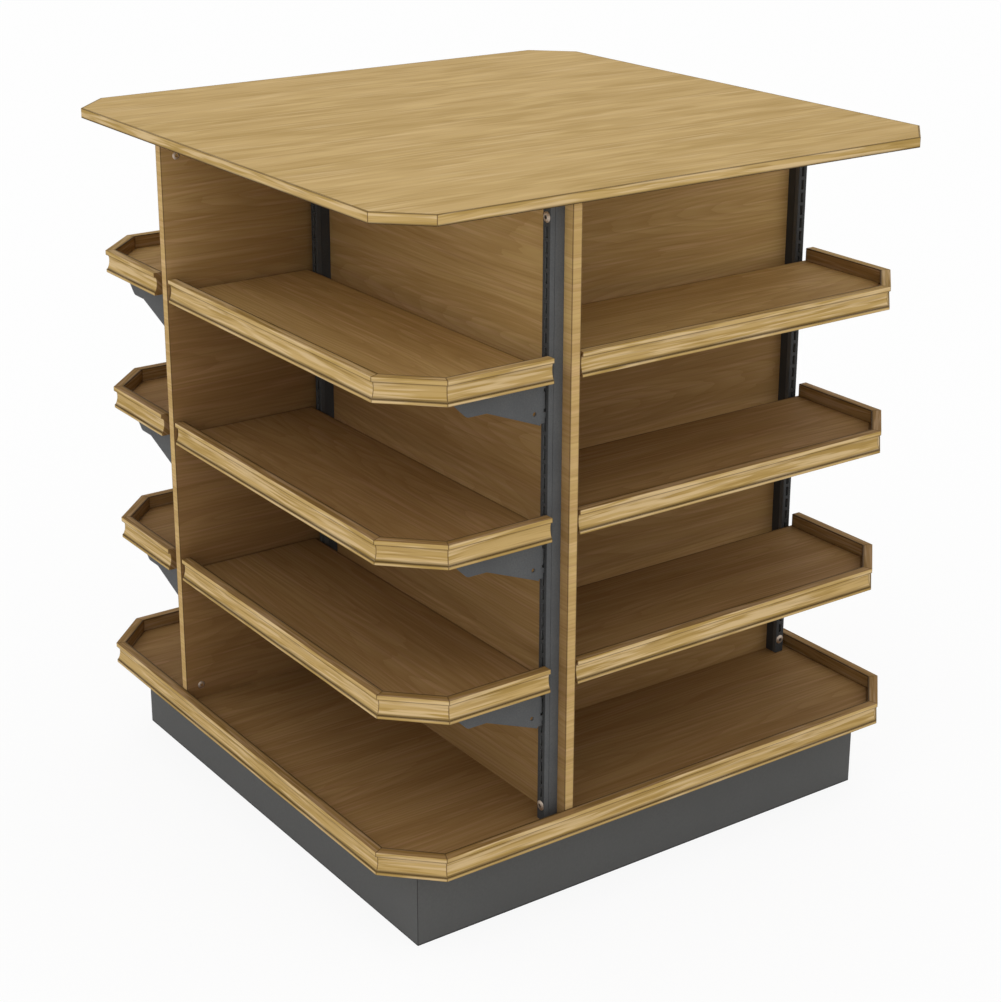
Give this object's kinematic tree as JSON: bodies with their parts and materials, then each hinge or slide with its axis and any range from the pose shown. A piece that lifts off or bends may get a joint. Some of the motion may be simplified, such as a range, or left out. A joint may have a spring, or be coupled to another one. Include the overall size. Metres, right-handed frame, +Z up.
{
  "type": "display shelf merchandiser",
  "caption": "Free-standing square display merchandiser: pinwheel wall panels between a moulded deck and a chamfered top, with slotted posts, hook-in brackets and lift-off edged shelves.",
  "frame": {"origin": "centre of the plinth, on the floor", "axes": "+Z up; the front bay faces -Y and the bays follow counter-clockwise seen from above: front, right, back, left"},
  "size_m": [1.19, 1.19, 1.3249],
  "materials": {
    "oak_veneer": "light oak veneered board and oak moulding, satin lacquer",
    "powder_coated_steel": "charcoal grey powder coat, satin",
    "plinth_laminate": "board faced with matte charcoal laminate"
  },
  "bodies": {
    "carcass": {"front_plinth_board": "plinth_laminate", "front_wall_panel": "oak_veneer", "front_outer_post": "powder_coated_steel", "front_inner_post": "powder_coated_steel", "right_plinth_board": "plinth_laminate", "right_wall_panel": "oak_veneer", "right_outer_post": "powder_coated_steel", "right_inner_post": "powder_coated_steel", "back_plinth_board": "plinth_laminate", "back_wall_panel": "oak_veneer", "back_outer_post": "powder_coated_steel", "back_inner_post": "powder_coated_steel", "left_plinth_board": "plinth_laminate", "left_wall_panel": "oak_veneer", "left_outer_post": "powder_coated_steel", "left_inner_post": "powder_coated_steel", "plinth_upper_cross_rail": "plinth_laminate", "plinth_lower_cross_rail": "plinth_laminate", "deck_board": "oak_veneer", "deck_moulding": "oak_veneer", "top_board": "oak_veneer", "top_edge_band": "oak_veneer", "core_foot_cleat": "oak_veneer", "core_head_cleat": "oak_veneer"},
    "brackets_front_low": {"front_low_outer_bracket": "powder_coated_steel", "front_low_inner_bracket": "powder_coated_steel"},
    "shelf_front_low": {"front_low_shelf": "oak_veneer"},
    "brackets_front_middle": {"front_middle_outer_bracket": "powder_coated_steel", "front_middle_inner_bracket": "powder_coated_steel"},
    "shelf_front_middle": {"front_middle_shelf": "oak_veneer"},
    "brackets_front_high": {"front_high_outer_bracket": "powder_coated_steel", "front_high_inner_bracket": "powder_coated_steel"},
    "shelf_front_high": {"front_high_shelf": "oak_veneer"},
    "brackets_right_low": {"right_low_outer_bracket": "powder_coated_steel", "right_low_inner_bracket": "powder_coated_steel"},
    "shelf_right_low": {"right_low_shelf": "oak_veneer"},
    "brackets_right_middle": {"right_middle_outer_bracket": "powder_coated_steel", "right_middle_inner_bracket": "powder_coated_steel"},
    "shelf_right_middle": {"right_middle_shelf": "oak_veneer"},
    "brackets_right_high": {"right_high_outer_bracket": "powder_coated_steel", "right_high_inner_bracket": "powder_coated_steel"},
    "shelf_right_high": {"right_high_shelf": "oak_veneer"},
    "brackets_back_low": {"back_low_outer_bracket": "powder_coated_steel", "back_low_inner_bracket": "powder_coated_steel"},
    "shelf_back_low": {"back_low_shelf": "oak_veneer"},
    "brackets_back_middle": {"back_middle_outer_bracket": "powder_coated_steel", "back_middle_inner_bracket": "powder_coated_steel"},
    "shelf_back_middle": {"back_middle_shelf": "oak_veneer"},
    "brackets_back_high": {"back_high_outer_bracket": "powder_coated_steel", "back_high_inner_bracket": "powder_coated_steel"},
    "shelf_back_high": {"back_high_shelf": "oak_veneer"},
    "brackets_left_low": {"left_low_outer_bracket": "powder_coated_steel", "left_low_inner_bracket": "powder_coated_steel"},
    "shelf_left_low": {"left_low_shelf": "oak_veneer"},
    "brackets_left_middle": {"left_middle_outer_bracket": "powder_coated_steel", "left_middle_inner_bracket": "powder_coated_steel"},
    "shelf_left_middle": {"left_middle_shelf": "oak_veneer"},
    "brackets_left_high": {"left_high_outer_bracket": "powder_coated_steel", "left_high_inner_bracket": "powder_coated_steel"},
    "shelf_left_high": {"left_high_shelf": "oak_veneer"}
  },
  "joints": [
    {"name": "front_low_bracket_unhook", "type": "slide", "parent": "carcass", "child": "brackets_front_low", "axis": [0, 0, 1], "range_m": [0, 0.0088]},
    {"name": "front_low_shelf_lift", "type": "slide", "parent": "brackets_front_low", "child": "shelf_front_low", "axis": [0, 0, 1], "range_m": [0, 0.15]},
    {"name": "front_middle_bracket_unhook", "type": "slide", "parent": "carcass", "child": "brackets_front_middle", "axis": [0, 0, 1], "range_m": [0, 0.0088]},
    {"name": "front_middle_shelf_lift", "type": "slide", "parent": "brackets_front_middle", "child": "shelf_front_middle", "axis": [0, 0, 1], "range_m": [0, 0.15]},
    {"name": "front_high_bracket_unhook", "type": "slide", "parent": "carcass", "child": "brackets_front_high", "axis": [0, 0, 1], "range_m": [0, 0.0088]},
    {"name": "front_high_shelf_lift", "type": "slide", "parent": "brackets_front_high", "child": "shelf_front_high", "axis": [0, 0, 1], "range_m": [0, 0.15]},
    {"name": "right_low_bracket_unhook", "type": "slide", "parent": "carcass", "child": "brackets_right_low", "axis": [0, 0, 1], "range_m": [0, 0.0088]},
    {"name": "right_low_shelf_lift", "type": "slide", "parent": "brackets_right_low", "child": "shelf_right_low", "axis": [0, 0, 1], "range_m": [0, 0.15]},
    {"name": "right_middle_bracket_unhook", "type": "slide", "parent": "carcass", "child": "brackets_right_middle", "axis": [0, 0, 1], "range_m": [0, 0.0088]},
    {"name": "right_middle_shelf_lift", "type": "slide", "parent": "brackets_right_middle", "child": "shelf_right_middle", "axis": [0, 0, 1], "range_m": [0, 0.15]},
    {"name": "right_high_bracket_unhook", "type": "slide", "parent": "carcass", "child": "brackets_right_high", "axis": [0, 0, 1], "range_m": [0, 0.0088]},
    {"name": "right_high_shelf_lift", "type": "slide", "parent": "brackets_right_high", "child": "shelf_right_high", "axis": [0, 0, 1], "range_m": [0, 0.15]},
    {"name": "back_low_bracket_unhook", "type": "slide", "parent": "carcass", "child": "brackets_back_low", "axis": [0, 0, 1], "range_m": [0, 0.0088]},
    {"name": "back_low_shelf_lift", "type": "slide", "parent": "brackets_back_low", "child": "shelf_back_low", "axis": [0, 0, 1], "range_m": [0, 0.15]},
    {"name": "back_middle_bracket_unhook", "type": "slide", "parent": "carcass", "child": "brackets_back_middle", "axis": [0, 0, 1], "range_m": [0, 0.0088]},
    {"name": "back_middle_shelf_lift", "type": "slide", "parent": "brackets_back_middle", "child": "shelf_back_middle", "axis": [0, 0, 1], "range_m": [0, 0.15]},
    {"name": "back_high_bracket_unhook", "type": "slide", "parent": "carcass", "child": "brackets_back_high", "axis": [0, 0, 1], "range_m": [0, 0.0088]},
    {"name": "back_high_shelf_lift", "type": "slide", "parent": "brackets_back_high", "child": "shelf_back_high", "axis": [0, 0, 1], "range_m": [0, 0.15]},
    {"name": "left_low_bracket_unhook", "type": "slide", "parent": "carcass", "child": "brackets_left_low", "axis": [0, 0, 1], "range_m": [0, 0.0088]},
    {"name": "left_low_shelf_lift", "type": "slide", "parent": "brackets_left_low", "child": "shelf_left_low", "axis": [0, 0, 1], "range_m": [0, 0.15]},
    {"name": "left_middle_bracket_unhook", "type": "slide", "parent": "carcass", "child": "brackets_left_middle", "axis": [0, 0, 1], "range_m": [0, 0.0088]},
    {"name": "left_middle_shelf_lift", "type": "slide", "parent": "brackets_left_middle", "child": "shelf_left_middle", "axis": [0, 0, 1], "range_m": [0, 0.15]},
    {"name": "left_high_bracket_unhook", "type": "slide", "parent": "carcass", "child": "brackets_left_high", "axis": [0, 0, 1], "range_m": [0, 0.0088]},
    {"name": "left_high_shelf_lift", "type": "slide", "parent": "brackets_left_high", "child": "shelf_left_high", "axis": [0, 0, 1], "range_m": [0, 0.15]}
  ]
}
